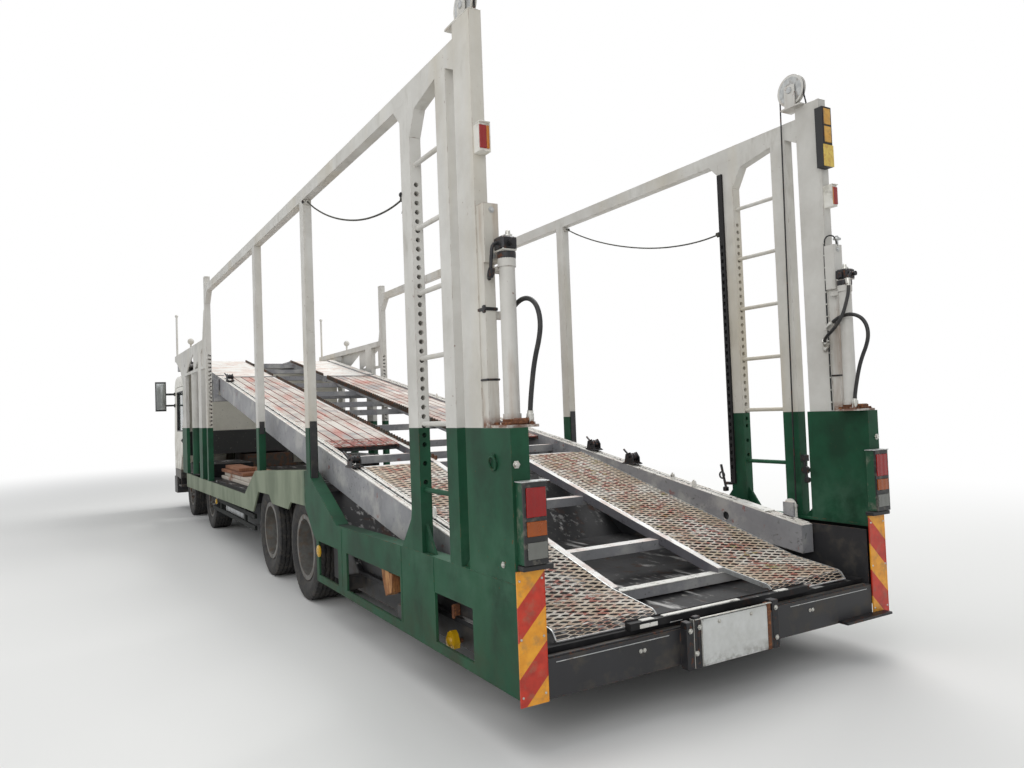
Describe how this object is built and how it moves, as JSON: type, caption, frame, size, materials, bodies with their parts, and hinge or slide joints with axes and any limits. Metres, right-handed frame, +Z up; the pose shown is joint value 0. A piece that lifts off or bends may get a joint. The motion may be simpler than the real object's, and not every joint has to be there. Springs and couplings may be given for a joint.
{
  "type": "car transporter truck",
  "caption": "Rigid two-deck car transporter truck with a low cab, open side frames and an upper deck lowered at its rear as a loading slope.",
  "frame": {"origin": "ground level under the middle of the truck", "axes": "+X to the truck's left, +Y to its rear (it drives towards -Y), +Z up"},
  "size_m": [3, 11.9795, 3.5349],
  "materials": {
    "black_paint": "satin",
    "board": "reflective",
    "cast_iron": "rough",
    "cream_paint": "weathered",
    "glass": "clear",
    "grey_paint": "worn",
    "hose_rubber": "matte",
    "lamp_plastic": "gloss",
    "plate_steel": "worn",
    "plate_white": "satin",
    "rope": "twisted",
    "tank_alu": "brushed",
    "trim_plastic": "grained",
    "tyre": "matte",
    "wheel_paint": "satin"
  },
  "bodies": {
    "root": {"axle_beams": "cast_iron", "cab_interior": "trim_plastic", "cab_shell": "cream_paint", "chassis_frame": "black_paint", "engine": "cast_iron", "front_bumper": "black_paint", "front_deck": "grey_paint", "guard_rope_left": "rope", "guard_rope_right": "rope", "hazard_boards": "board", "hoist_hose_left": "hose_rubber", "hoist_hose_right": "hose_rubber", "hoists": "cream_paint", "lamps": "lamp_plastic", "lower_deck": "grey_paint", "masts": "cream_paint", "mirrors": "trim_plastic", "number_plate": "plate_white", "rack_pillars": "cream_paint", "rear_bumper": "black_paint", "rear_pillars": "cream_paint", "side_posts": "cream_paint", "side_sills": "cream_paint", "side_tanks": "tank_alu", "sign_box": "black_paint", "top_rails": "cream_paint", "windscreen": "glass"},
    "deck_carriage": {"deck_carriage": "grey_paint"},
    "upper_deck": {"upper_deck_frame": "grey_paint", "deck_plates": "plate_steel", "mesh_tracks": "plate_steel"},
    "middle_flap": {"middle_flap": "grey_paint"},
    "knuckle_1_left": {"knuckle_1_left": "cast_iron"},
    "knuckle_1_right": {"knuckle_1_right": "cast_iron"},
    "knuckle_2_left": {"knuckle_2_left": "cast_iron"},
    "knuckle_2_right": {"knuckle_2_right": "cast_iron"},
    "wheel_1_left": {"rim_1_left": "wheel_paint", "tyre_1_left": "tyre"},
    "wheel_1_right": {"rim_1_right": "wheel_paint", "tyre_1_right": "tyre"},
    "wheel_2_left": {"rim_2_left": "wheel_paint", "tyre_2_left": "tyre"},
    "wheel_2_right": {"rim_2_right": "wheel_paint", "tyre_2_right": "tyre"},
    "wheel_3_left": {"rim_3_left": "wheel_paint", "tyre_3_left": "tyre"},
    "wheel_3_right": {"rim_3_right": "wheel_paint", "tyre_3_right": "tyre"},
    "wheel_4_left": {"rim_4_left": "wheel_paint", "tyre_4_left": "tyre"},
    "wheel_4_right": {"rim_4_right": "wheel_paint", "tyre_4_right": "tyre"},
    "door_left": {"door_left": "cream_paint"},
    "door_right": {"door_right": "cream_paint"}
  },
  "joints": [
    {"name": "deck_lift", "type": "slide", "parent": "root", "child": "deck_carriage", "axis": [0, 0, 1], "range_m": [0, 0.3822]},
    {"name": "deck_tilt", "type": "hinge", "parent": "deck_carriage", "child": "upper_deck", "pos_m": [0, -1.875, 1.96044], "axis": [1, 0, 0], "range_deg": [0, 10.31]},
    {"name": "flap_hinge", "type": "hinge", "parent": "root", "child": "middle_flap", "pos_m": [0, -3.975, 2.34264], "axis": [1, 0, 0], "range_deg": [0, 10.36]},
    {"name": "steer_1_left", "type": "hinge", "parent": "root", "child": "knuckle_1_left", "pos_m": [0.85, -4.525, 0.42], "axis": [0, 0, 1], "range_deg": [-24, 24]},
    {"name": "steer_1_right", "type": "hinge", "parent": "root", "child": "knuckle_1_right", "pos_m": [-0.85, -4.525, 0.42], "axis": [0, 0, 1], "range_deg": [-24, 24]},
    {"name": "steer_2_left", "type": "hinge", "parent": "root", "child": "knuckle_2_left", "pos_m": [0.85, -2.675, 0.42], "axis": [0, 0, 1], "range_deg": [-17, 17]},
    {"name": "steer_2_right", "type": "hinge", "parent": "root", "child": "knuckle_2_right", "pos_m": [-0.85, -2.675, 0.42], "axis": [0, 0, 1], "range_deg": [-17, 17]},
    {"name": "spin_1_left", "type": "hinge", "parent": "knuckle_1_left", "child": "wheel_1_left", "pos_m": [0.99, -4.525, 0.42], "axis": [1, 0, 0], "continuous": true},
    {"name": "spin_1_right", "type": "hinge", "parent": "knuckle_1_right", "child": "wheel_1_right", "pos_m": [-0.99, -4.525, 0.42], "axis": [1, 0, 0], "continuous": true},
    {"name": "spin_2_left", "type": "hinge", "parent": "knuckle_2_left", "child": "wheel_2_left", "pos_m": [0.99, -2.675, 0.42], "axis": [1, 0, 0], "continuous": true},
    {"name": "spin_2_right", "type": "hinge", "parent": "knuckle_2_right", "child": "wheel_2_right", "pos_m": [-0.99, -2.675, 0.42], "axis": [1, 0, 0], "continuous": true},
    {"name": "spin_3_left", "type": "hinge", "parent": "root", "child": "wheel_3_left", "pos_m": [0.935, 1.235, 0.42], "axis": [1, 0, 0], "continuous": true},
    {"name": "spin_3_right", "type": "hinge", "parent": "root", "child": "wheel_3_right", "pos_m": [-0.935, 1.235, 0.42], "axis": [1, 0, 0], "continuous": true},
    {"name": "spin_4_left", "type": "hinge", "parent": "root", "child": "wheel_4_left", "pos_m": [0.935, 2.435, 0.42], "axis": [1, 0, 0], "continuous": true},
    {"name": "spin_4_right", "type": "hinge", "parent": "root", "child": "wheel_4_right", "pos_m": [-0.935, 2.435, 0.42], "axis": [1, 0, 0], "continuous": true},
    {"name": "door_left_swing", "type": "hinge", "parent": "root", "child": "door_left", "pos_m": [1.165, -5.495, 1.4], "axis": [0, 0, -1], "range_deg": [0, 65]},
    {"name": "door_right_swing", "type": "hinge", "parent": "root", "child": "door_right", "pos_m": [-1.165, -5.495, 1.4], "axis": [0, 0, 1], "range_deg": [0, 65]}
  ],
  "couplings": [
    {"joint": "flap_hinge", "follows": "deck_lift", "rad_per_m": 0.47103},
    {"joint": "steer_1_right", "follows": "steer_1_left", "ratio": 1},
    {"joint": "steer_2_left", "follows": "steer_1_left", "ratio": 0.7},
    {"joint": "steer_2_right", "follows": "steer_1_left", "ratio": 0.7}
  ]
}
